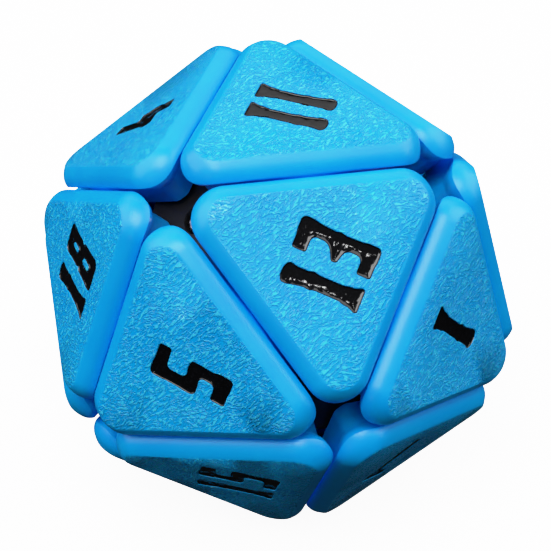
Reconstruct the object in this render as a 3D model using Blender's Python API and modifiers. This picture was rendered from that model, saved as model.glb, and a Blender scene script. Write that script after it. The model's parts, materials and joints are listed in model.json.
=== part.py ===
"""Icosahedral twisty puzzle: twenty numbered tiles held by sprung discs on a ball core.

Metres, +Z up. The origin is the centre of the core. Tile 10 lies on the table and
tile 11 is on top. Every turning axis runs from the origin through a corner of the
icosahedron. All shells and walls are spheres and cones about the origin, so that a
cap of five tiles can turn about its corner without touching the others.
"""
import math

import bmesh
import bpy
from mathutils import Matrix, Vector

# ---------------------------------------------------------------- driving sizes
R = 0.0380                      # centre to a corner of the sharp icosahedron
FACE = 0.79465 * R              # centre to a tile's flat face

RIM_Z = 0.735 * R               # level of a tile's widest outline
RIM_IN = 0.2762 * R             # outline: middle of the tile to the middle of a side
RIM_CORNER = 0.110 * R          # outline: corner radius in plan
BAND = 0.0432 * R               # width of the rounded band between the outline and the flat
NOSE_DROP = 0.35                # a corner's band drops this much further than a side's
NOSE_BULGE = 0.010 * R          # swelling of a corner below its outline
RIM_STEPS = 2                   # facets across the rounded band
ARC_STEPS = 3                   # facets round each corner in plan

WALL_CONE = math.radians(57.9)  # block walls, measured from each of the tile's own corners
WALL_TIP = math.radians(29.4)   # block walls end this far from the tile's axis at a corner
WALL_TOP = 0.777 * R            # top of the walls, under the outline
BLOCK_IN = 0.680 * R            # inner end of a block
STEM = math.radians(7.2)        # half-angle of the stem between block and foot
FOOT_CONE = math.radians(55.3)  # foot outline, measured from each of the tile's own corners
FOOT_TIP = math.radians(27.4)
FOOT_OUT = 0.600 * R
FOOT_IN = 0.530 * R

DISC = math.radians(18.0)       # half-angle of a retaining disc
DISC_OUT = 0.660 * R
DISC_IN = 0.612 * R
DISC_SIDES = 12
HUB_R = 0.00250
HUB_END = 0.506 * R
SPRING_BORE_R = 0.00195
HUB_FLOOR = 0.525 * R
SHANK_HOLE_R = 0.00120

SPRING_COIL_R = 0.00143
SPRING_WIRE_R = 0.00024
SPRING_TURNS = 3
SPRING_STEPS = 8                # points per turn
END_GAP = 0.00030               # clearance at each end of the spring

SCREW_HEAD_R = 0.00165
SCREW_HEAD_T = 0.00110
SCREW_BEVEL = 0.00030
SCREW_HEAD_TOP = 0.0246
SCREW_R = 0.00080
SCREW_TIP = 0.0112
SCREW_SIDES = 10
SOCKET_R = 0.00085
SOCKET_DEPTH = 0.00060

CORE_R = 0.490 * R
CORE_HOLE_R = 0.00120
CORE_HOLE_END = 0.0105

DIGIT_H = 0.0103                # height of the engraved numbers
DIGIT_W = 0.42 * DIGIT_H        # width of a digit
ONE_W = 0.30 * DIGIT_H          # width of a 1
DIGIT_GAP = 0.0012              # space between two digits
STROKE = 0.175 * DIGIT_H        # width of a stroke
DIGIT_DEPTH = 0.0006
NUMBER_SHIFT = {5: (0.0009, 0.0013)}    # numbers that sit off the middle of their tile
UNDERLINED = (6, 9)

MERGE = 0.00001

# ---------------------------------------------------------------- icosahedron
POLAR_TOP = math.radians(37.3774)
POLAR_UPPER = math.radians(79.1877)
CORNERS = {}
for corner_name, polar, azimuth in (
        ("top_left", POLAR_TOP, 210), ("top_right", POLAR_TOP, 330), ("top_back", POLAR_TOP, 90),
        ("upper_front", POLAR_UPPER, 270), ("upper_left", POLAR_UPPER, 150),
        ("upper_right", POLAR_UPPER, 30)):
    turn = math.radians(azimuth)
    CORNERS[corner_name] = Vector((math.sin(polar) * math.cos(turn), math.sin(polar) * math.sin(turn),
                                   math.cos(polar)))
for corner_name, opposite in (
        ("bottom_front", "top_back"), ("bottom_left", "top_right"), ("bottom_right", "top_left"),
        ("lower_back", "upper_front"), ("lower_right", "upper_left"), ("lower_left", "upper_right")):
    CORNERS[corner_name] = -CORNERS[opposite]

# each tile's three corners, the first one being where the top of its number points
TILES = {
    1: ("lower_right", "upper_front", "top_right"),
    2: ("lower_left", "upper_left", "bottom_left"),
    3: ("bottom_right", "upper_right", "lower_right"),
    4: ("upper_left", "top_back", "top_left"),
    5: ("upper_front", "top_left", "lower_left"),
    6: ("top_back", "lower_back", "upper_right"),
    7: ("bottom_front", "upper_front", "lower_right"),
    8: ("lower_back", "bottom_right", "bottom_left"),
    9: ("top_back", "top_right", "upper_right"),
    10: ("bottom_front", "bottom_right", "bottom_left"),
    11: ("top_right", "top_back", "top_left"),
    12: ("bottom_left", "bottom_front", "lower_left"),
    13: ("top_left", "upper_front", "top_right"),
    14: ("upper_left", "top_back", "lower_back"),
    15: ("lower_left", "upper_front", "bottom_front"),
    16: ("upper_right", "lower_back", "bottom_right"),
    17: ("lower_right", "bottom_front", "bottom_right"),
    18: ("upper_left", "top_left", "lower_left"),
    19: ("upper_right", "top_right", "lower_right"),
    20: ("lower_back", "upper_left", "bottom_left"),
}

# digits in a box 1 high and 0.42 wide (0.30 for a 1): open strokes, closed rings and one filled outline
OPEN_STROKES = {
    "2": [[(.02, .91), (.33, .91), (.33, .58), (.09, .09), (.41, .09)]],
    "3": [[(.01, .91), (.33, .91), (.33, .09), (.01, .09)], [(.06, .5), (.33, .5)]],
    "4": [[(.24, .96), (.08, .32), (.42, .32)], [(.29, .0), (.29, .6)]],
    "5": [[(.4, .91), (.09, .91), (.09, .5), (.33, .5), (.33, .09), (.0, .09)]],
    "6": [[(.09, .5), (.09, .91), (.38, .91)]],
    "7": [[(.01, .91), (.33, .91), (.17, .0)]],
    "8": [[(.09, .5), (.33, .5)]],
    "9": [[(.33, .5), (.33, .09), (.04, .09)]],
}
CLOSED_STROKES = {
    "0": [[(.09, .09), (.33, .09), (.33, .91), (.09, .91)]],
    "6": [[(.09, .09), (.33, .09), (.33, .5), (.09, .5)]],
    "8": [[(.09, .09), (.33, .09), (.33, .91), (.09, .91)]],
    "9": [[(.09, .5), (.33, .5), (.33, .91), (.09, .91)]],
}
FILLED = {
    "1": [[(.0, .0), (.3, .0), (.3, .06), (.245, .17), (.225, .93), (.19, 1.0), (.04, 1.0), (.0, .93),
           (.055, .78), (.055, .17), (.0, .06)]],
}


# ---------------------------------------------------------------- helpers
def clear_scene():
    for obj in list(bpy.data.objects):
        bpy.data.objects.remove(obj, do_unlink=True)


def new_collection(name):
    collection = bpy.data.collections.new(name)
    bpy.context.scene.collection.children.link(collection)
    return collection


def add_object(name, data, collection, placing=Matrix()):
    obj = bpy.data.objects.new(name, data)
    collection.objects.link(obj)
    obj.matrix_world = placing
    return obj


def take_active(name, collection):
    """Name the object an operator just made and move it to its collection."""
    obj = bpy.context.object
    obj.name = name
    for other in list(obj.users_collection):
        other.objects.unlink(obj)
    collection.objects.link(obj)
    return obj


def paint(obj, colour, roughness, metallic=0.0):
    material = bpy.data.materials.new(obj.name + "_material")
    material.use_nodes = True
    shader = material.node_tree.nodes["Principled BSDF"]
    shader.inputs["Base Color"].default_value = (*colour, 1.0)
    shader.inputs["Roughness"].default_value = roughness
    shader.inputs["Metallic"].default_value = metallic
    material.diffuse_color = (*colour, 1.0)
    obj.data.materials.append(material)


def make_cutter(obj):
    obj.hide_render = True
    obj.display_type = "WIRE"


def subtract(obj, cutter):
    modifier = obj.modifiers.new("cut_" + cutter.name, "BOOLEAN")
    modifier.operation = "DIFFERENCE"
    modifier.solver = "EXACT"
    modifier.object = cutter


def axis_frame(axis, toward):
    """Turn +Z to the axis and +Y as near as it gets to the direction toward."""
    z = axis.normalized()
    y = (toward - z * toward.dot(z)).normalized()
    return Matrix((y.cross(z), y, z)).transposed().to_4x4()


def turned(name, profile, closed, sides, collection, placing):
    """Solid of revolution: (radius, height) points, outer side from top to bottom."""
    mesh = bpy.data.meshes.new(name)
    count = len(profile)
    edges = [(i, (i + 1) % count) for i in range(count if closed else count - 1)]
    mesh.from_pydata([(r, 0.0, z) for r, z in profile], edges, [])
    obj = add_object(name, mesh, collection, placing)
    screw = obj.modifiers.new("turn", "SCREW")
    screw.axis = "Z"
    screw.steps = sides
    screw.render_steps = sides
    screw.use_merge_vertices = True
    screw.merge_threshold = MERGE
    screw.use_smooth_shade = True
    return obj


# ---------------------------------------------------------------- tiles
def lean_direction(lean, azimuth):
    return Vector((math.sin(lean) * math.cos(azimuth), math.sin(lean) * math.sin(azimuth), math.cos(lean)))


OWN_CORNERS = [lean_direction(POLAR_TOP, math.radians(90 + 120 * k)) for k in range(3)]


def tile_outline(inset):
    """Rounded triangle in plan with one corner on +Y, as (x, y, share of a corner) points."""
    radius = RIM_CORNER - inset
    reach = 2.0 * (RIM_IN - RIM_CORNER)
    arcs = []
    for k in range(3):
        middle = math.radians(90 + 120 * k)
        arc = []
        for s in range(ARC_STEPS + 1):
            turn = middle + math.radians(120.0 * s / ARC_STEPS - 60.0)
            arc.append(Vector((reach * math.cos(middle) + radius * math.cos(turn),
                               reach * math.sin(middle) + radius * math.sin(turn),
                               math.sin(math.pi * s / ARC_STEPS) ** 2)))
        arcs.append(arc)
    points = []
    for k in range(3):
        points.extend(arcs[k])
        points.append((arcs[k][-1] + arcs[(k + 1) % 3][0]) * 0.5)
    return points


def widest_lean(azimuth, cone, tip):
    """How far from the tile's axis a direction may lean and stay in the cones about its corners."""
    low, high = 0.0, tip
    for _ in range(40):
        lean = 0.5 * (low + high)
        if max(lean_direction(lean, azimuth).angle(corner) for corner in OWN_CORNERS) > cone:
            high = lean
        else:
            low = lean
    return low


def tile_mesh(name):
    """Loft from the flat face over the rounded band, down the walls and out into the foot."""
    rings = []
    for s in range(RIM_STEPS, -1, -1):
        turn = math.radians(90.0 * s / RIM_STEPS)
        drop = (FACE - RIM_Z) * (1.0 - math.sin(turn))
        outline = tile_outline(BAND * (1.0 - math.cos(turn)))
        rings.append([Vector((p.x, p.y, FACE - drop * (1.0 + NOSE_DROP * p.z))) for p in outline])
    azimuths = [math.atan2(p.y, p.x) for p in rings[-1]]
    wall = [widest_lean(a, WALL_CONE, WALL_TIP) for a in azimuths]
    foot = [widest_lean(a, FOOT_CONE, FOOT_TIP) for a in azimuths]
    stem = [STEM] * len(azimuths)
    wall_top = [lean_direction(t, a) * WALL_TOP for a, t in zip(azimuths, wall)]
    rings.append([upper.lerp(lower, 0.5) + lean_direction(0.5 * math.pi, a) * NOSE_BULGE * p.z
                  for upper, lower, a, p in zip(rings[-1], wall_top, azimuths, outline)])
    rings.append(wall_top)
    for leans, radius in ((wall, BLOCK_IN), (stem, BLOCK_IN), (stem, FOOT_OUT),
                          (foot, FOOT_OUT), (foot, FOOT_IN)):
        rings.append([lean_direction(t, a) * radius for a, t in zip(azimuths, leans)])
    work = bmesh.new()
    loops = [[work.verts.new(p) for p in ring] for ring in rings]
    count = len(azimuths)
    work.faces.new(loops[0])
    for upper, lower in zip(loops, loops[1:]):
        for k in range(count):
            n = (k + 1) % count
            work.faces.new((upper[k], lower[k], lower[n], upper[n]))
    centre = work.verts.new((0.0, 0.0, FOOT_IN))
    for k in range(count):
        work.faces.new((loops[-1][(k + 1) % count], loops[-1][k], centre))
    bmesh.ops.recalc_face_normals(work, faces=work.faces)
    mesh = bpy.data.meshes.new(name)
    work.to_mesh(mesh)
    work.free()
    mesh.shade_smooth()
    mesh.set_sharp_from_angle(angle=math.radians(40))
    return mesh


# ---------------------------------------------------------------- engraved numbers
def stroke_sides(path, closed):
    """Left and right offsets of a path, mitred at each bend."""
    left, right = [], []
    for i, point in enumerate(path):
        normals = []
        if closed or i > 0:
            step = (point - path[i - 1]).normalized()
            normals.append(Vector((-step.y, step.x)))
        if closed or i < len(path) - 1:
            step = (path[(i + 1) % len(path)] - point).normalized()
            normals.append(Vector((-step.y, step.x)))
        normal = sum(normals, Vector((0.0, 0.0))).normalized()
        reach = 0.5 * STROKE / max(0.55, normal.dot(normals[0]))
        left.append(point + normal * reach)
        right.append(point - normal * reach)
    return left, right


def number_outlines(number):
    """Each piece of a number as one loop, or as an outer and an inner loop."""
    text = str(number)
    widths = [ONE_W if digit == "1" else DIGIT_W for digit in text]
    middle = Vector(NUMBER_SHIFT.get(number, (0.0, 0.0)))
    corner = middle - Vector((0.5 * (sum(widths) + DIGIT_GAP * (len(text) - 1)), 0.5 * DIGIT_H))
    pieces = []
    for digit, width in zip(text, widths):
        for source in (FILLED, OPEN_STROKES, CLOSED_STROKES):
            for path in source.get(digit, []):
                path = [corner + Vector(p) * DIGIT_H for p in path]
                if source is FILLED:
                    pieces.append([path])
                    continue
                left, right = stroke_sides(path, source is CLOSED_STROKES)
                pieces.append([right, left] if source is CLOSED_STROKES else [left + right[::-1]])
        corner = corner + Vector((width + DIGIT_GAP, 0.0))
    if number in UNDERLINED:
        low = -0.72 * DIGIT_H
        half = 0.5 * DIGIT_W
        pieces.append([[Vector((-half, low)), Vector((half, low)),
                        Vector((half, low + STROKE)), Vector((-half, low + STROKE))]])
    return pieces


def outline_cutter(name, loops, collection, placing):
    """Extruded flat outline, turned into a welded mesh so that a Boolean can use it."""
    curve = bpy.data.curves.new(name, "CURVE")
    curve.dimensions = "2D"
    curve.fill_mode = "BOTH"
    curve.extrude = DIGIT_DEPTH
    for loop in loops:
        spline = curve.splines.new("POLY")
        spline.points.add(len(loop) - 1)
        for point, place in zip(spline.points, loop):
            point.co = (place.x, place.y, 0.0, 1.0)
        spline.use_cyclic_u = True
    shape = add_object(name + "_curve", curve, collection, placing @ Matrix.Translation((0.0, 0.0, FACE)))
    bpy.context.view_layer.update()
    mesh = bpy.data.meshes.new_from_object(shape.evaluated_get(bpy.context.evaluated_depsgraph_get()))
    work = bmesh.new()
    work.from_mesh(mesh)
    bmesh.ops.remove_doubles(work, verts=work.verts, dist=MERGE)
    bmesh.ops.recalc_face_normals(work, faces=work.faces)
    work.to_mesh(mesh)
    work.free()
    cutter = add_object(name, mesh, collection, shape.matrix_world.copy())
    bpy.data.objects.remove(shape, do_unlink=True)
    make_cutter(cutter)
    return cutter


# ---------------------------------------------------------------- parts on each axis
def add_disc(name, collection, placing):
    top = DISC_OUT * math.cos(DISC * 0.3)
    profile = [(SPRING_BORE_R, top), (DISC_OUT * math.sin(DISC), DISC_OUT * math.cos(DISC)),
               (DISC_IN * math.sin(DISC), DISC_IN * math.cos(DISC)), (HUB_R, DISC_IN), (HUB_R, HUB_END),
               (SHANK_HOLE_R, HUB_END), (SHANK_HOLE_R, HUB_FLOOR), (SPRING_BORE_R, HUB_FLOOR)]
    return turned(name, profile, True, DISC_SIDES, collection, placing)


def add_screw(name, collection, placing):
    under = SCREW_HEAD_TOP - SCREW_HEAD_T
    profile = [(0.0, SCREW_HEAD_TOP), (SCREW_HEAD_R - SCREW_BEVEL, SCREW_HEAD_TOP),
               (SCREW_HEAD_R, SCREW_HEAD_TOP - SCREW_BEVEL), (SCREW_HEAD_R, under), (SCREW_R, under),
               (SCREW_R, SCREW_TIP + SCREW_R), (0.0, SCREW_TIP)]
    return turned(name, profile, False, SCREW_SIDES, collection, placing)


def add_spring(name, collection, placing):
    low = HUB_FLOOR + SPRING_WIRE_R + END_GAP
    high = SCREW_HEAD_TOP - SCREW_HEAD_T - SPRING_WIRE_R - END_GAP
    steps = SPRING_TURNS * SPRING_STEPS
    curve = bpy.data.curves.new(name, "CURVE")
    curve.dimensions = "3D"
    curve.bevel_depth = SPRING_WIRE_R
    curve.bevel_resolution = 0
    curve.use_fill_caps = True
    spline = curve.splines.new("POLY")
    spline.points.add(steps)
    for s, point in enumerate(spline.points):
        turn = 2.0 * math.pi * s / SPRING_STEPS
        point.co = (SPRING_COIL_R * math.cos(turn), SPRING_COIL_R * math.sin(turn),
                    low + (high - low) * s / steps, 1.0)
    return add_object(name, curve, collection, placing)


def add_rod_cutter(name, sides, radius, low, high, collection, placing):
    bpy.ops.mesh.primitive_cylinder_add(vertices=sides, radius=radius, depth=high - low)
    obj = take_active(name, collection)
    obj.matrix_world = placing @ Matrix.Translation((0.0, 0.0, 0.5 * (low + high)))
    make_cutter(obj)
    return obj


# ---------------------------------------------------------------- build
def build():
    clear_scene()
    parts = new_collection("twisty_puzzle")
    cutters = new_collection("cutters")

    for number, names in TILES.items():
        corners = [CORNERS[name] for name in names]
        placing = axis_frame(sum(corners, Vector()), corners[0])
        tile = add_object("tile_%02d" % number, tile_mesh("tile_%02d" % number), parts, placing)
        paint(tile, (0.030, 0.400, 0.800), 0.32)
        for index, loops in enumerate(number_outlines(number)):
            subtract(tile, outline_cutter("number_%02d_%d" % (number, index), loops, cutters, placing))

    bpy.ops.mesh.primitive_ico_sphere_add(subdivisions=3, radius=CORE_R)
    core = take_active("core", parts)
    core.data.shade_smooth()
    paint(core, (0.026, 0.026, 0.030), 0.50)

    for name, corner in CORNERS.items():
        placing = axis_frame(corner, CORNERS["upper_front" if abs(corner.y) < 0.9 else "top_left"])
        disc = add_disc("disc_" + name, parts, placing)
        paint(disc, (0.020, 0.020, 0.022), 0.45)
        spring = add_spring("spring_" + name, parts, placing)
        paint(spring, (0.500, 0.510, 0.520), 0.38, 1.0)
        screw = add_screw("screw_" + name, parts, placing)
        paint(screw, (0.560, 0.570, 0.580), 0.30, 1.0)
        subtract(screw, add_rod_cutter("socket_" + name, 6, SOCKET_R, SCREW_HEAD_TOP - SOCKET_DEPTH,
                                       SCREW_HEAD_TOP + SOCKET_DEPTH, cutters, placing))
        subtract(core, add_rod_cutter("pilot_" + name, 8, CORE_HOLE_R, CORE_HOLE_END, CORE_R * 1.1,
                                      cutters, placing))


build()
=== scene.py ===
"""Looks for the icosahedral twisty puzzle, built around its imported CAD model.

Every tile gets a finely rounded shell with an engraved number and a separate glossy
enamel filling. The core, discs, springs and screws keep their CAD shapes and get
procedural materials. Lengths are metres, apart from the numbers, which are drawn in
millimetres on the tile's own plane.
"""
import json
import math

import bmesh
import bpy
import numpy as np
from mathutils import Matrix, Vector, noise
from mathutils.geometry import delaunay_2d_cdt

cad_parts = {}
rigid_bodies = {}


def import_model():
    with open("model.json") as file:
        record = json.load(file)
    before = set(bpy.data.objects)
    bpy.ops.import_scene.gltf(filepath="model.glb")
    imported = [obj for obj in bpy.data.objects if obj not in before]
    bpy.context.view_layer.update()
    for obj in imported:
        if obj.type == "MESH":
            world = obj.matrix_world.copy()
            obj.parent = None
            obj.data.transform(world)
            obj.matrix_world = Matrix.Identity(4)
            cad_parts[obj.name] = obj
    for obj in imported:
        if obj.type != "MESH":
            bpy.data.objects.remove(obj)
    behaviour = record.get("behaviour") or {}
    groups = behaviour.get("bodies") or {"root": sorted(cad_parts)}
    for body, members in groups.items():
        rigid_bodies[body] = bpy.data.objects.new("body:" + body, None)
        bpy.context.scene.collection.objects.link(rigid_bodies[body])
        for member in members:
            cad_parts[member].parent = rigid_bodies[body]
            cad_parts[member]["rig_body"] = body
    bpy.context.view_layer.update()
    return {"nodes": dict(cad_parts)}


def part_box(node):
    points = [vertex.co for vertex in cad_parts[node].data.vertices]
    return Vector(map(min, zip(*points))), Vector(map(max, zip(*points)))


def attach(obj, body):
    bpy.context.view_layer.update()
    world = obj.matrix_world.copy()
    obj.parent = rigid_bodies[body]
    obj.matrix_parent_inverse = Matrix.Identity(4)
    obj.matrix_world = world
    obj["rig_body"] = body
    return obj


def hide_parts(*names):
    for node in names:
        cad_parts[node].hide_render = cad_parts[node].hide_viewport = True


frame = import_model()

# ---------------------------------------------------------------- driving sizes
MM = 0.001
FACE = -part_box("tile_10")[0].z  # centre to a tile's flat face
R = FACE / 0.79465              # centre to a corner of the sharp icosahedron

RIM_Z = 0.735 * R               # height at which a tile's rounded band ends
RIM_IN = 0.2762 * R             # tile's axis to the middle of a side
RIM_CORNER = 0.110 * R          # rounding of a tile's corners in plan
BAND = 0.0432 * R               # width of the rounded band in plan
BAND_SLOPE = 0.55               # share of the band's drop that is a straight slope
NOSE_DROP = 0.35                # how much further the band drops at a corner
NOSE_BULGE = 0.010 * R          # bulge of the nose below a corner
RIM_STEPS = 14                  # rings over the band
NOSE_STEPS = 5                  # rings over the nose
ARC_STEPS = 14                  # points round a corner
SIDE_STEPS = 10                 # points along a side

# walls lie on cones about the turning axes; a tip is the most a wall may lean from the tile's axis
WALL_CONE = math.radians(58.12)
WALL_TIP = math.radians(29.4)
WALL_TOP = 0.777 * R            # centre to the top of a wall
BLOCK_IN = 0.680 * R            # centre to the underside of a tile's block
STEM = math.radians(7.2)        # lean of the stem between block and foot
FOOT_CONE = math.radians(55.3)
FOOT_TIP = math.radians(27.4)
FOOT_OUT = 0.600 * R            # centre to the foot's outer and inner surfaces
FOOT_IN = 0.530 * R

# numbers, in millimetres
DIGIT_H = 10.3
DIGIT_W = 0.42 * DIGIT_H
ONE_W = 0.30 * DIGIT_H          # width of a 1
DIGIT_GAP = 1.2                 # space between two digits
CORNER_R = 0.034 * DIGIT_H      # rounding of a stroke's outer corners
BLEND = 0.085 * DIGIT_H         # softness where strokes meet
UNDERLINED = (6, 9)
UNDERLINE = (0.0, 0.0, 0.085, 0.42, 0.0, 0.085)
UNDERLINE_Y = -0.64 * DIGIT_H
NUMBER_SHIFT = {5: (0.9, 1.3), 13: (0.0, -0.5)}
GRID = 0.12                     # spacing of the search grid and of points along an edge
LIP = 0.14                      # rounding of the recess's edge
RECESS = 0.56                   # depth of the recess
DRAFT = 0.08                    # how far the recess's wall leans in
LIP_LEVELS = (0.26, LIP, 0.7 * LIP, 0.4 * LIP, 0.15 * LIP, 0.0, -DRAFT)

# enamel filling, in millimetres
FILL_BASE = 0.50                # depth of its underside
FILL_LEVELS = (-0.03, -0.07, -0.12, -0.19, -0.28)
BEAD_GRID = 0.20                # spacing of points over its middle
BEAD_CLEAR = 0.38               # how far those points keep from the number's edge
EDGE_DEPTH = 0.08               # depth of its top at the wall
FILM_DEPTH = 0.13               # further drop of the film that climbs the wall
FILM_WIDTH = 0.06
CHANNEL_DEPTH = 0.10            # further drop to the middle of the channel
CHANNEL_HALF = 0.95
RIPPLE_DEPTH = 0.035
RIPPLES = 1.3                   # ripples in a millimetre

# ---------------------------------------------------------------- icosahedron
# lean of the three corners about a flat face from its axis, and of the next three
POLAR_TOP = math.radians(37.3774)
POLAR_UPPER = math.radians(79.1877)


def lean_direction(lean, azimuth):
    return Vector((math.sin(lean) * math.cos(azimuth), math.sin(lean) * math.sin(azimuth), math.cos(lean)))


CORNERS = {
    "top_left": lean_direction(POLAR_TOP, math.radians(210)),
    "top_right": lean_direction(POLAR_TOP, math.radians(330)),
    "top_back": lean_direction(POLAR_TOP, math.radians(90)),
    "upper_front": lean_direction(POLAR_UPPER, math.radians(270)),
    "upper_left": lean_direction(POLAR_UPPER, math.radians(150)),
    "upper_right": lean_direction(POLAR_UPPER, math.radians(30)),
}
for corner_name, opposite in (
        ("bottom_front", "top_back"), ("bottom_left", "top_right"), ("bottom_right", "top_left"),
        ("lower_back", "upper_front"), ("lower_right", "upper_left"), ("lower_left", "upper_right")):
    CORNERS[corner_name] = -CORNERS[opposite]

# each tile's three corners, the first one being where the top of its number points
TILES = {
    1: ("lower_right", "upper_front", "top_right"),
    2: ("lower_left", "upper_left", "bottom_left"),
    3: ("bottom_right", "upper_right", "lower_right"),
    4: ("upper_left", "top_back", "top_left"),
    5: ("upper_front", "top_left", "lower_left"),
    6: ("top_back", "lower_back", "upper_right"),
    7: ("bottom_front", "upper_front", "lower_right"),
    8: ("lower_back", "bottom_right", "bottom_left"),
    9: ("top_back", "top_right", "upper_right"),
    10: ("bottom_front", "bottom_right", "bottom_left"),
    11: ("top_right", "top_back", "top_left"),
    12: ("bottom_left", "bottom_front", "lower_left"),
    13: ("top_left", "upper_front", "top_right"),
    14: ("upper_left", "top_back", "lower_back"),
    15: ("lower_left", "upper_front", "bottom_front"),
    16: ("upper_right", "lower_back", "bottom_right"),
    17: ("lower_right", "bottom_front", "bottom_right"),
    18: ("upper_left", "top_left", "lower_left"),
    19: ("upper_right", "top_right", "lower_right"),
    20: ("lower_back", "upper_left", "bottom_left"),
}

# strokes of a digit in a box 1 high: start x, y, half width, then end x, y, half width
STROKES = {
    "0": [(.09, .93, .08, .09, .07, .08), (.33, .93, .08, .33, .07, .08),
          (.08, .91, .085, .34, .91, .085), (.08, .09, .085, .34, .09, .085)],
    "1": [(.12, .998, .070, .115, .91, .112), (.115, .92, .112, .145, .62, .092),
          (.145, .64, .092, .150, .16, .092), (.150, .20, .092, .150, .0, .150)],
    "2": [(.01, .91, .09, .34, .91, .09), (.33, .98, .085, .33, .60, .085),
          (.345, .64, .080, .09, .13, .080), (.0, .09, .09, .42, .09, .09)],
    "3": [(.0, .91, .09, .36, .91, .09), (.30, .98, .088, .29, .50, .075),
          (.29, .52, .075, .30, .02, .088), (.03, .475, .045, .28, .50, .115),
          (.01, .09, .09, .36, .09, .09)],
    "4": [(.29, .99, .085, .09, .32, .075), (.01, .33, .08, .42, .33, .08),
          (.31, .0, .09, .31, .58, .085)],
    "5": [(.02, .905, .093, .38, .905, .093), (.098, .98, .078, .092, .46, .075),
          (.06, .525, .078, .40, .525, .078), (.350, .58, .083, .348, .03, .083),
          (.0, .09, .082, .40, .09, .086)],
    "6": [(.09, .98, .082, .09, .02, .082), (.04, .91, .085, .39, .91, .085),
          (.04, .09, .085, .39, .09, .085), (.335, .04, .082, .335, .57, .082),
          (.05, .515, .078, .39, .515, .078)],
    "7": [(.0, .91, .09, .41, .91, .09), (.345, .96, .085, .16, .0, .092)],
    "8": [(.10, .96, .080, .10, .55, .072), (.32, .96, .080, .32, .55, .072),
          (.09, .47, .078, .085, .04, .085), (.33, .47, .078, .335, .04, .085),
          (.05, .915, .082, .37, .915, .082), (.07, .51, .075, .35, .51, .075),
          (.04, .085, .085, .38, .085, .085)],
    "9": [(.335, .98, .082, .335, .02, .082), (.03, .09, .085, .38, .09, .085),
          (.03, .91, .085, .38, .91, .085), (.085, .96, .082, .085, .43, .082),
          (.03, .485, .078, .37, .485, .078)],
}


# ---------------------------------------------------------------- number fields
def stroke_quad(stroke):
    """Corners of a stroke drawn in by its corner rounding, anticlockwise."""
    start = np.array(stroke[0:2]) * DIGIT_H
    end = np.array(stroke[3:5]) * DIGIT_H
    along = (end - start) / np.linalg.norm(end - start)
    side = np.array((-along[1], along[0]))
    half_start = stroke[2] * DIGIT_H - CORNER_R
    half_end = stroke[5] * DIGIT_H - CORNER_R
    start = start + along * CORNER_R
    end = end - along * CORNER_R
    return np.array((start - side * half_start, end - side * half_end, end + side * half_end,
                     start + side * half_start))


def quad_distance(points, quad):
    """Signed distance from points to a convex quad, negative inside."""
    nearest = np.full(len(points), np.inf)
    inside = np.ones(len(points), bool)
    for k in range(4):
        a = quad[k]
        edge = quad[(k + 1) % 4] - a
        offset = points - a
        share = np.clip(offset @ edge / (edge @ edge), 0.0, 1.0)
        nearest = np.minimum(nearest, np.linalg.norm(offset - share[:, None] * edge, axis=1))
        inside &= edge[0] * offset[:, 1] - edge[1] * offset[:, 0] > 0.0
    return np.where(inside, -nearest, nearest)


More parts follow.
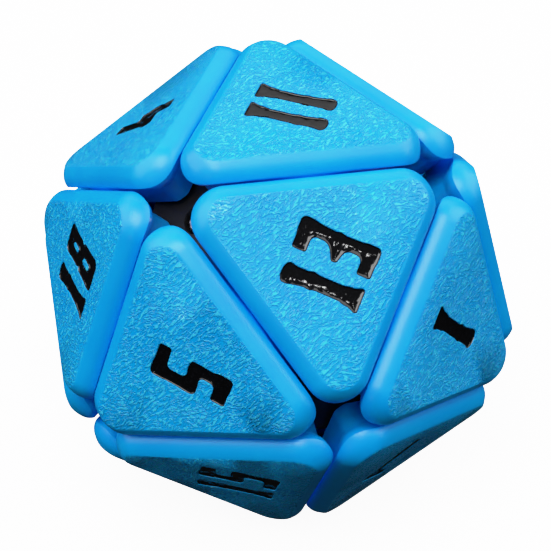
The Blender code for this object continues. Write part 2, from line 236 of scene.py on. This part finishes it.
class NumberField:
    """Distance to a number's edge on its tile's plane, in millimetres, negative inside."""

    def __init__(self, number):
        text = str(number)
        widths = [ONE_W if digit == "1" else DIGIT_W for digit in text]
        middle = np.array(NUMBER_SHIFT.get(number, (0.0, 0.0)))
        corner = middle - np.array((0.5 * (sum(widths) + DIGIT_GAP * (len(text) - 1)), 0.5 * DIGIT_H))
        self.shapes = []
        for digit, width in zip(text, widths):
            self.shapes.append([stroke_quad(stroke) + corner for stroke in STROKES[digit]])
            corner = corner + np.array((width + DIGIT_GAP, 0.0))
        if number in UNDERLINED:
            low = middle + np.array((-0.5 * DIGIT_W, UNDERLINE_Y))
            self.shapes.append([stroke_quad(UNDERLINE) + low])
        corners = np.concatenate([quad for shape in self.shapes for quad in shape])
        self.low = corners.min(0) - 1.0
        self.high = corners.max(0) + 1.0
        self.loops = self.edge_loops()

    def merged(self, points):
        """Field of the joined strokes: right in sign, and close to the distance near the edge."""
        points = np.asarray(points, float).reshape(-1, 2)
        total = np.full(len(points), 50.0)
        for shape in self.shapes:
            merged = None
            for quad in shape:
                one = quad_distance(points, quad) - CORNER_R
                if merged is None:
                    merged = one
                    continue
                near = np.maximum(BLEND - np.abs(merged - one), 0.0)
                merged = np.minimum(merged, one) - near * near / (4.0 * BLEND)
            total = np.minimum(total, merged)
        return total

    def distance(self, points):
        """True distance to the edge loops."""
        points = np.asarray(points, float).reshape(-1, 2)
        nearest = np.full(len(points), np.inf)
        for loop in self.loops:
            for a, edge in zip(loop, np.roll(loop, -1, axis=0) - loop):
                offset = points - a
                share = np.clip(offset @ edge / (edge @ edge), 0.0, 1.0)
                gap = offset - share[:, None] * edge
                nearest = np.minimum(nearest, (gap * gap).sum(1))
        return np.where(self.merged(points) < 0.0, -1.0, 1.0) * np.sqrt(nearest)

    def onto_edge(self, points):
        """Move points along the merged field until they lie on the edge."""
        points = np.array(points, float)
        step = 0.004
        for _ in range(5):
            value = self.merged(points)
            slope = np.stack([(self.merged(points + d) - self.merged(points - d)) / (2.0 * step)
                              for d in (np.array((step, 0.0)), np.array((0.0, step)))], axis=1)
            size = np.maximum((slope * slope).sum(1), 0.2)
            points = points - slope * (value / size)[:, None]
        return points

    def edge_loops(self):
        """Closed loops of evenly spaced points along the number's edge."""
        count = np.ceil((self.high - self.low) / GRID).astype(int) + 1
        xs = self.low[0] + GRID * np.arange(count[0])
        ys = self.low[1] + GRID * np.arange(count[1])
        field = self.merged(np.stack(np.meshgrid(xs, ys, indexing="ij"), axis=-1).reshape(-1, 2))
        field = field.reshape(count[0], count[1])
        inner = field < 0.0
        mixed = inner[:-1, :-1].astype(int) + inner[1:, :-1] + inner[:-1, 1:] + inner[1:, 1:]
        links = {}
        for i, j in zip(*np.nonzero((mixed > 0) & (mixed < 4))):
            ring = ((i, j), (i + 1, j), (i + 1, j + 1), (i, j + 1))
            crossings = []
            for a, b in zip(ring, ring[1:] + ring[:1]):
                if inner[a] != inner[b]:
                    crossings.append(((min(a, b), max(a, b)), bool(inner[a])))
            leaving = [key for key, was_inner in crossings if was_inner]
            entering = [key for key, was_inner in crossings if not was_inner]
            for a, b in zip(leaving, entering):
                links[a] = b
        loops = []
        while links:
            first = next(iter(links))
            keys = [first]
            while links[keys[-1]] != first:
                keys.append(links[keys[-1]])
            points = []
            for key in keys:
                del links[key]
                (a, b) = key
                share = field[a] / (field[a] - field[b])
                points.append((xs[a[0]] + share * (xs[b[0]] - xs[a[0]]),
                               ys[a[1]] + share * (ys[b[1]] - ys[a[1]])))
            loops.append(self.onto_edge(even_loop(np.array(points), GRID)))
        return loops


def even_loop(points, spacing):
    closed = np.vstack([points, points[:1]])
    run = np.concatenate([[0.0], np.cumsum(np.linalg.norm(np.diff(closed, axis=0), axis=1))])
    count = max(8, int(round(run[-1] / spacing)))
    at = np.arange(count) * run[-1] / count
    return np.stack([np.interp(at, run, closed[:, 0]), np.interp(at, run, closed[:, 1])], axis=1)


def offset_loop(loop, distance):
    """The loop moved out along its normals; the number lies on its left."""
    along = np.roll(loop, -1, axis=0) - np.roll(loop, 1, axis=0)
    along = along / np.linalg.norm(along, axis=1)[:, None]
    return loop + distance * np.stack([along[:, 1], -along[:, 0]], axis=1)


def triangulate(loops, loose=()):
    """Delaunay triangles through closed loops and loose points, as points and corner triples."""
    points, edges = [], []
    for loop in loops:
        first = len(points)
        points.extend(Vector(p) for p in loop)
        edges.extend((first + k, first + (k + 1) % len(loop)) for k in range(len(loop)))
    points.extend(Vector(p) for p in loose)
    found, _, faces, _, _, _ = delaunay_2d_cdt(points, edges, [], 0, 1e-5)
    return np.array([tuple(p) for p in found]), [tuple(f) for f in faces]


# ---------------------------------------------------------------- tiles
OWN_CORNERS = [lean_direction(POLAR_TOP, math.radians(90 + 120 * k)) for k in range(3)]


def tile_outline(inset):
    """Rounded triangle in plan with one corner on +Y, as (x, y, share of a corner) points."""
    radius = RIM_CORNER - inset
    reach = 2.0 * (RIM_IN - RIM_CORNER)
    arcs = []
    for k in range(3):
        middle = math.radians(90 + 120 * k)
        arc = []
        for s in range(ARC_STEPS + 1):
            turn = middle + math.radians(120.0 * s / ARC_STEPS - 60.0)
            arc.append(Vector((reach * math.cos(middle) + radius * math.cos(turn),
                               reach * math.sin(middle) + radius * math.sin(turn),
                               math.sin(math.pi * s / ARC_STEPS) ** 2)))
        arcs.append(arc)
    points = []
    for k in range(3):
        points.extend(arcs[k])
        start, end = arcs[k][-1], arcs[(k + 1) % 3][0]
        points.extend(start.lerp(end, s / SIDE_STEPS) for s in range(1, SIDE_STEPS))
    return points


def band_drop(share):
    """Fall of the band from the flat (0) to the outline (1), as a share of the whole fall."""
    slope = BAND_SLOPE * share * share / (share + 0.06)
    rounding = 1.0 - math.sqrt(1.0 - share ** 4)
    return slope + (1.0 - BAND_SLOPE / 1.06) * rounding


def widest_lean(azimuth, cone, tip):
    """How far from the tile's axis a direction may lean and stay in the cones about its corners."""
    low, high = 0.0, tip
    for _ in range(40):
        lean = 0.5 * (low + high)
        if max(lean_direction(lean, azimuth).angle(corner) for corner in OWN_CORNERS) > cone:
            high = lean
        else:
            low = lean
    return low


def recess_depth(distance):
    """Depth of the tile's surface below its face at a distance from the number's edge, in mm."""
    lip = np.clip((LIP - distance) / LIP, 0.0, 1.0)
    rounded = LIP * (1.0 - np.sqrt(1.0 - lip * lip))
    wall = np.clip(-distance / DRAFT, 0.0, 1.0) * (RECESS - LIP)
    return rounded + wall


def enamel_depth(distance, points, seed):
    """Depth of the enamel: it climbs the wall and sags to a rippled channel along the middle."""
    inward = np.clip(-distance, 0.0, None)
    film = FILM_DEPTH * (1.0 - np.exp(-inward / FILM_WIDTH))
    left = np.clip(1.0 - inward / CHANNEL_HALF, 0.0, 1.0)
    channel = CHANNEL_DEPTH * (1.0 - left * left)
    ripple = np.array([noise.noise(Vector((p[0] * RIPPLES, p[1] * RIPPLES, seed))) for p in points])
    return EDGE_DEPTH + film + channel + RIPPLE_DEPTH * ripple * np.clip(inward / 0.3, 0.0, 1.0)


def bare_tile_rings():
    """Rings of points down the outside of a tile, from the edge of its flat to under its foot."""
    rings = []
    for s in range(RIM_STEPS + 1):
        share = math.sin(0.5 * math.pi * s / RIM_STEPS)
        drop = (FACE - RIM_Z) * band_drop(share)
        outline = tile_outline(BAND * (1.0 - share))
        rings.append([Vector((p.x, p.y, FACE - drop * (1.0 + NOSE_DROP * p.z))) for p in outline])
    azimuths = [math.atan2(p.y, p.x) for p in rings[-1]]
    wall = [widest_lean(a, WALL_CONE, WALL_TIP) for a in azimuths]
    foot = [widest_lean(a, FOOT_CONE, FOOT_TIP) for a in azimuths]
    stem = [STEM] * len(azimuths)
    rim = rings[-1]
    wall_top = [lean_direction(t, a) * WALL_TOP for a, t in zip(azimuths, wall)]
    for s in range(1, NOSE_STEPS):
        t = s / NOSE_STEPS
        bulge = 4.0 * t * (1.0 - t) * NOSE_BULGE
        rings.append([upper.lerp(lower, t) + lean_direction(0.5 * math.pi, a) * bulge * p.z
                      for upper, lower, a, p in zip(rim, wall_top, azimuths, outline)])
    rings.append(wall_top)
    for leans, radius in ((wall, BLOCK_IN), (stem, BLOCK_IN), (stem, FOOT_OUT),
                          (foot, FOOT_OUT), (foot, FOOT_IN)):
        rings.append([lean_direction(t, a) * radius for a, t in zip(azimuths, leans)])
    return rings


TILE_RINGS = bare_tile_rings()


def finish_mesh(name, work, placing, material, sharp_angle):
    """Weld, keep each point's place on its own tile for the materials, and move to the model's frame."""
    bmesh.ops.remove_doubles(work, verts=work.verts, dist=1e-7)
    bmesh.ops.recalc_face_normals(work, faces=work.faces)
    mesh = bpy.data.meshes.new(name)
    work.to_mesh(mesh)
    work.free()
    places = np.zeros(3 * len(mesh.vertices), np.float32)
    mesh.vertices.foreach_get("co", places)
    mesh.attributes.new("tile_place", "FLOAT_VECTOR", "POINT").data.foreach_set("vector", places)
    mesh.transform(placing)
    mesh.shade_smooth()
    mesh.set_sharp_from_angle(angle=math.radians(sharp_angle))
    mesh.materials.append(material)
    obj = bpy.data.objects.new(name, mesh)
    bpy.context.scene.collection.objects.link(obj)
    return obj


def add_tile_body(number, field, placing, material):
    """Tile with its number sunk into the flat."""
    work = bmesh.new()
    nested = [np.array([(p.x, p.y) for p in TILE_RINGS[0]]) / MM]
    for loop in field.loops:
        nested.extend(offset_loop(loop, level) for level in LIP_LEVELS)
    points, faces = triangulate(nested)
    depth = recess_depth(field.distance(points))
    top = [work.verts.new((p[0] * MM, p[1] * MM, FACE - d * MM)) for p, d in zip(points, depth)]
    for f in faces:
        work.faces.new([top[k] for k in f])
    rings = [[work.verts.new(p) for p in ring] for ring in TILE_RINGS]
    count = len(rings[0])
    for upper, lower in zip(rings, rings[1:]):
        for k in range(count):
            n = (k + 1) % count
            work.faces.new((upper[k], lower[k], lower[n], upper[n]))
    centre = work.verts.new((0.0, 0.0, FOOT_IN))
    for k in range(count):
        work.faces.new((rings[-1][(k + 1) % count], rings[-1][k], centre))
    return finish_mesh("tile_body_%02d" % number, work, placing, material, 40)


def faces_inside(field, points, faces):
    """The faces that lie inside the number's edge."""
    centres = np.array([points[list(f)].mean(0) for f in faces])
    return [f for f, d in zip(faces, field.merged(centres)) if d < 0.0]


def add_number_enamel(number, field, placing, material):
    """Filling of the sunk number: a rippled top, side walls and a flat underside."""
    work = bmesh.new()
    nested = [offset_loop(loop, level) for loop in field.loops for level in FILL_LEVELS]
    xs = np.arange(field.low[0], field.high[0], BEAD_GRID)
    ys = np.arange(field.low[1], field.high[1], BEAD_GRID * 0.866)
    middle = np.array([(x + (0.5 * BEAD_GRID if j % 2 else 0.0), y) for j, y in enumerate(ys) for x in xs])
    middle = middle[field.merged(middle) < -0.15]
    middle = middle[field.distance(middle) < -BEAD_CLEAR]
    points, faces = triangulate(field.loops + nested, middle)
    depth = enamel_depth(field.distance(points), points, 7.3 * number)
    faces = faces_inside(field, points, faces)
    used = sorted({k for f in faces for k in f})
    top = {k: work.verts.new((points[k][0] * MM, points[k][1] * MM, FACE - depth[k] * MM))
           for k in used}
    for f in faces:
        work.faces.new([top[k] for k in f])
    border = [e for e in work.edges if len(e.link_faces) == 1]
    base_z = FACE - FILL_BASE * MM
    low = {v: work.verts.new((v.co.x, v.co.y, base_z)) for e in border for v in e.verts}
    for e in border:
        a, b = e.verts
        work.faces.new((a, b, low[b], low[a]))
    points, faces = triangulate(field.loops)
    faces = faces_inside(field, points, faces)
    used = sorted({k for f in faces for k in f})
    base = {k: work.verts.new((points[k][0] * MM, points[k][1] * MM, base_z)) for k in used}
    for f in faces:
        work.faces.new([base[k] for k in f])
    return finish_mesh("number_enamel_%02d" % number, work, placing, material, 50)


def axis_frame(axis, toward):
    """Turn +Z to the axis and +Y as near as it gets to the direction toward."""
    z = axis.normalized()
    y = (toward - z * toward.dot(z)).normalized()
    return Matrix((y.cross(z), y, z)).transposed().to_4x4()


# ---------------------------------------------------------------- materials
class Nodes:
    """Short hand for building a material's nodes."""

    def __init__(self, name):
        self.material = bpy.data.materials.new(name)
        self.material.use_nodes = True
        self.tree = self.material.node_tree
        self.tree.nodes.clear()

    def add(self, kind, inputs=None, **settings):
        node = self.tree.nodes.new("ShaderNode" + kind)
        for key, value in settings.items():
            setattr(node, key, value)
        for key, value in (inputs or {}).items():
            if isinstance(value, bpy.types.NodeSocket):
                self.tree.links.new(value, node.inputs[key])
            else:
                node.inputs[key].default_value = value
        return node

    def sum(self, operation, a, b):
        return self.add("Math", {0: a, 1: b}, operation=operation).outputs[0]

    def ramp(self, factor, low, high, to_low=0.0, to_high=1.0):
        return self.add("MapRange", {"Value": factor, "From Min": low, "From Max": high,
                                     "To Min": to_low, "To Max": to_high}).outputs["Result"]

    def noise(self, place, scale, detail=2.0, distortion=0.0):
        return self.add("TexNoise", {"Vector": place, "Scale": scale, "Detail": detail,
                                     "Distortion": distortion}).outputs["Fac"]

    def stretch(self, place, turn, scale):
        """Coordinates scaled along an x axis that stands at the angle turn."""
        turned = self.add("VectorRotate", {"Vector": place, "Angle": -math.radians(turn)},
                          rotation_type="Z_AXIS").outputs["Vector"]
        return self.add("Mapping", {"Vector": turned, "Scale": scale}).outputs["Vector"]

    def mix_colour(self, factor, a, b):
        node = self.add("Mix", data_type="RGBA")
        for key, value in ((0, factor), (6, a), (7, b)):
            if isinstance(value, bpy.types.NodeSocket):
                self.tree.links.new(value, node.inputs[key])
            else:
                node.inputs[key].default_value = value
        return node.outputs[2]

    def done(self, **inputs):
        shader = self.add("BsdfPrincipled", {key.replace("_", " "): value for key, value in inputs.items()})
        output = self.add("OutputMaterial")
        self.tree.links.new(shader.outputs[0], output.inputs[0])
        return self.material


def flat_mask(n, place):
    """1 on the grained flat of a tile, 0 on its polished band and walls."""
    side_limit = RIM_IN - BAND
    corner_limit = 2.0 * (RIM_IN - RIM_CORNER) + RIM_CORNER - BAND
    cuts = []
    for k in range(3):
        for turn, limit in ((30 + 120 * k, side_limit), (90 + 120 * k, corner_limit)):
            way = (math.cos(math.radians(turn)) / MM, math.sin(math.radians(turn)) / MM, 0.0)
            along = n.add("VectorMath", {0: place, 1: way}, operation="DOT_PRODUCT").outputs["Value"]
            cuts.append(n.sum("SUBTRACT", along, limit / MM))
    beyond = cuts[0]
    for cut in cuts[1:]:
        beyond = n.sum("MAXIMUM", beyond, cut)
    height = n.add("SeparateXYZ", {0: place}).outputs["Z"]
    edge = n.ramp(beyond, -0.35, 0.15, 1.0, 0.0)
    above = n.ramp(height, FACE - 0.06 * MM, FACE - 0.02 * MM)
    return n.sum("MULTIPLY", edge, above)


def tile_plastic():
    """Blue plastic with a fine grain of short raised strokes on the flat, a painted highlight on the stroke
    crests and a painted blue glow on the walls below the rim.
    """
    n = Nodes("blue_tile_plastic")
    place = n.add("Attribute", attribute_name="tile_place").outputs["Vector"]
    mask = flat_mask(n, place)
    wander = n.noise(place, 420.0, 1.0)
    strokes = n.noise(n.stretch(place, -22.0, (1200.0, 3600.0, 1.0)), 1.0, 2.0, 0.6)
    crossing = n.noise(n.stretch(place, -62.0, (1500.0, 3600.0, 1.0)), 1.0, 2.0, 0.7)
    pick = n.ramp(wander, 0.53, 0.58)
    mixed = n.add("Mix", {0: pick, 2: strokes, 3: crossing}, data_type="FLOAT").outputs[0]
    ridges = n.ramp(mixed, 0.45, 0.58)
    grain = n.sum("MULTIPLY", ridges, mask)
    peel = n.noise(place, 300.0, 2.0)
    relief = n.sum("ADD", grain, n.sum("MULTIPLY", peel, 0.20))
    bump = n.add("Bump", {"Height": relief, "Strength": 1.0, "Distance": 0.00008}).outputs["Normal"]
    cloud = n.noise(place, 95.0, 3.0)
    deep = (0.001, 0.330, 0.820, 1.0)
    light = (0.002, 0.370, 0.850, 1.0)
    base = n.mix_colour(n.ramp(cloud, 0.35, 0.65), deep, light)
    # crests of the strokes: they get a lower roughness, and their pale cyan colour is a painted highlight
    # standing in for glints of light on the grain
    crest_and_painted_glint = n.sum("MULTIPLY", n.ramp(mixed, 0.54, 0.62), mask)
    colour = n.mix_colour(n.sum("MULTIPLY", crest_and_painted_glint, 0.50), base, (0.08, 0.78, 0.98, 1.0))
    rough = n.sum("ADD", n.ramp(mask, 0.0, 1.0, 0.33, 0.28), n.ramp(cloud, 0.3, 0.7, -0.02, 0.03))
    rough = n.sum("SUBTRACT", rough, n.sum("MULTIPLY", crest_and_painted_glint, 0.13))
    # painted glow: the tile's walls just below the rim give off blue light, standing in for light scattered
    # into the gaps between tiles
    height = n.add("SeparateXYZ", {0: place}).outputs["Z"]
    painted_glow_band = n.sum("MULTIPLY", n.ramp(height, 0.655 * R, 0.72 * R),
                   n.ramp(height, RIM_Z, 0.765 * R, 1.0, 0.0))
    painted_gap_glow = n.sum("MULTIPLY", painted_glow_band, 0.10)
    return n.done(Base_Color=colour, Roughness=rough, Normal=bump, IOR=1.43, Subsurface_Weight=0.10,
                  Subsurface_Radius=(0.1, 0.5, 1.0), Subsurface_Scale=0.0012,
                  Emission_Color=(0.0, 0.09, 0.75, 1.0), Emission_Strength=painted_gap_glow)


def number_enamel():
    n = Nodes("black_number_enamel")
    place = n.add("Attribute", attribute_name="tile_place").outputs["Vector"]
    swirl = n.noise(place, 1100.0, 2.0, 0.8)
    dust = n.noise(place, 5200.0, 2.0)
    bump = n.add("Bump", {"Height": swirl, "Strength": 0.5, "Distance": 0.00004}).outputs["Normal"]
    colour = n.mix_colour(n.ramp(dust, 0.55, 0.75), (0.0015, 0.0015, 0.002, 1.0), (0.006, 0.006, 0.008, 1.0))
    return n.done(Base_Color=colour, Roughness=n.ramp(dust, 0.3, 0.8, 0.05, 0.11), Normal=bump, IOR=1.50)


def black_plastic(name, shade, rough_low, rough_high):
    n = Nodes(name)
    place = n.add("TexCoord").outputs["Object"]
    grain = n.noise(place, 2600.0, 3.0)
    cloud = n.noise(place, 180.0, 3.0)
    bump = n.add("Bump", {"Height": grain, "Strength": 0.4, "Distance": 0.00006}).outputs["Normal"]
    colour = n.mix_colour(n.ramp(cloud, 0.35, 0.7), (shade, shade, shade * 1.15, 1.0),
                          (shade * 2.2, shade * 2.2, shade * 2.5, 1.0))
    return n.done(Base_Color=colour, Roughness=n.ramp(cloud, 0.3, 0.7, rough_low, rough_high), Normal=bump,
                  IOR=1.5)


def steel(name, tint, streak):
    n = Nodes(name)
    place = n.add("TexCoord").outputs["Object"]
    lines = n.noise(n.stretch(place, 0.0, streak), 1.0, 3.0)
    tarnish = n.noise(place, 700.0, 3.0)
    bump = n.add("Bump", {"Height": lines, "Strength": 0.25, "Distance": 0.00003}).outputs["Normal"]
    colour = n.mix_colour(n.ramp(tarnish, 0.4, 0.7), tint, tuple(0.62 * c for c in tint[:3]) + (1.0,))
    return n.done(Base_Color=colour, Metallic=1.0, Roughness=n.ramp(lines, 0.3, 0.7, 0.20, 0.36), Normal=bump)


def floor_material():
    n = Nodes("pale_floor")
    place = n.add("TexCoord").outputs["Object"]
    cloud = n.noise(place, 3.0, 2.0)
    colour = n.mix_colour(cloud, (0.86, 0.865, 0.87, 1.0), (0.885, 0.885, 0.885, 1.0))
    return n.done(Base_Color=colour, Roughness=0.9, IOR=1.3, Emission_Color=(1.0, 1.0, 1.0, 1.0),
                  Emission_Strength=2.0)


# ---------------------------------------------------------------- the object
def build_object():
    plastic = tile_plastic()
    enamel = number_enamel()
    for number, names in TILES.items():
        node = "tile_%02d" % number
        body = frame["nodes"][node]["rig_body"]
        corners = [CORNERS[name] for name in names]
        placing = axis_frame(sum(corners, Vector()), corners[0])
        field = NumberField(number)
        shell = add_tile_body(number, field, placing, plastic)
        filling = add_number_enamel(number, field, placing, enamel)
        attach(shell, body)
        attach(filling, body)
        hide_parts(node)

    looks = {
        "core": black_plastic("core_plastic_look", 0.006, 0.50, 0.65),
        "disc": black_plastic("disc_plastic_look", 0.004, 0.50, 0.65),
        "spring": steel("spring_steel_look", (0.50, 0.51, 0.53, 1.0), (2500.0, 2500.0, 900.0)),
        "screw": steel("screw_steel_look", (0.60, 0.60, 0.62, 1.0), (1500.0, 6000.0, 1500.0)),
    }
    for name, obj in frame["nodes"].items():
        look = looks.get(name.split("_")[0])
        if look is not None:
            obj.data.materials.clear()
            obj.data.materials.append(look)


# ---------------------------------------------------------------- floor, light and camera
def build_floor():
    """Pale round floor under the bottom tile. It neither lights the object nor shows in its gloss."""
    bpy.ops.mesh.primitive_circle_add(vertices=96, radius=3.0, fill_type="NGON", location=(0.0, 0.0, -FACE))
    floor = bpy.context.object
    floor.name = "floor"
    floor.data.materials.append(floor_material())
    floor.visible_diffuse = False
    floor.visible_glossy = False


def add_softbox(name, azimuth, elevation, distance, width, height, power):
    """Area light facing the origin. Azimuth 0 is in front of the part, 90 to its right."""
    a, e = math.radians(azimuth), math.radians(elevation)
    back = Vector((math.sin(a) * math.cos(e), -math.cos(a) * math.cos(e), math.sin(e)))
    light = bpy.data.lights.new(name, "AREA")
    light.shape = "RECTANGLE"
    light.size = width
    light.size_y = height
    light.energy = power
    obj = bpy.data.objects.new(name, light)
    bpy.context.scene.collection.objects.link(obj)
    obj.location = back * distance
    obj.rotation_mode = "QUATERNION"
    obj.rotation_quaternion = (-back).to_track_quat("-Z", "Y")


def build_world():
    """Soft white light from above that fades out below the horizon."""
    world = bpy.data.worlds.new("studio")
    world.use_nodes = True
    tree = world.node_tree
    place = tree.nodes.new("ShaderNodeTexCoord")
    split = tree.nodes.new("ShaderNodeSeparateXYZ")
    fade = tree.nodes.new("ShaderNodeMapRange")
    fade.inputs["From Min"].default_value = 0.0
    fade.inputs["From Max"].default_value = 0.50
    fade.inputs["To Min"].default_value = 0.012
    fade.inputs["To Max"].default_value = 0.10
    tree.links.new(place.outputs["Generated"], split.inputs[0])
    tree.links.new(split.outputs["Z"], fade.inputs["Value"])
    tree.links.new(fade.outputs["Result"], tree.nodes["Background"].inputs["Strength"])
    tree.nodes["Background"].inputs["Color"].default_value = (0.94, 0.97, 1.0, 1.0)
    bpy.context.scene.world = world


def build_lights():
    add_softbox("top_softbox", -36, 70, 0.80, 0.55, 0.50, 6.3)
    add_softbox("left_softbox", -103, 34, 0.80, 0.85, 0.80, 4.6)
    add_softbox("right_softbox", 88, 42, 0.80, 0.75, 0.70, 4.4)
    add_softbox("back_softbox", 172, 40, 0.90, 1.10, 0.50, 1.3)
    add_softbox("key_spot", 28, 54.5, 0.80, 0.04, 0.04, 0.12)
    add_softbox("left_spot", -42, 12, 0.80, 0.05, 0.05, 0.11)
    add_softbox("right_spot", 68, 8, 0.80, 0.05, 0.05, 0.05)


# light seen by the camera against light in the picture: whites roll off instead of clipping
TONE_WHITE = 4.0
TONE = ((0.0, 0.0), (0.3, 0.3), (0.6, 0.585), (0.8, 0.73), (1.0, 0.815), (1.25, 0.87), (2.0, 0.94),
        (3.0, 0.985), (4.0, 1.0))


def set_tone():
    view = bpy.context.scene.view_settings
    view.view_transform = "Standard"
    view.use_curve_mapping = True
    mapping = view.curve_mapping
    mapping.white_level = (TONE_WHITE, TONE_WHITE, TONE_WHITE)
    curve = mapping.curves[3]
    curve.points[0].location = (0.0, 0.0)
    curve.points[1].location = (1.0, 1.0)
    for light, shown in TONE[1:-1]:
        curve.points.new(light / TONE_WHITE, shown)
    mapping.update()


VIEW_AZIMUTH = -16.5            # camera's direction from the object, in degrees
VIEW_ELEVATION = 44.2
VIEW_ROLL = 5.0
VIEW_DISTANCE = 4.60 * R
LENS = 80.4
SHIFT = (-0.0024, 0.0085)


def build_camera():
    camera = bpy.data.cameras.new("camera")
    camera.lens = LENS
    camera.sensor_width = 36.0
    camera.shift_x, camera.shift_y = SHIFT
    camera.clip_start = 0.01
    camera.clip_end = 20.0
    obj = bpy.data.objects.new("camera", camera)
    bpy.context.scene.collection.objects.link(obj)
    a, e = math.radians(VIEW_AZIMUTH), math.radians(VIEW_ELEVATION)
    back = Vector((math.sin(a) * math.cos(e), -math.cos(a) * math.cos(e), math.sin(e)))
    level = (-back).to_track_quat("-Z", "Y").to_matrix()
    turn = Matrix.Rotation(math.radians(VIEW_ROLL), 3, "Z")
    obj.matrix_world = Matrix.Translation(back * VIEW_DISTANCE) @ (level @ turn).to_4x4()
    bpy.context.scene.camera = obj


build_object()
build_floor()
build_world()
build_lights()
set_tone()
build_camera()
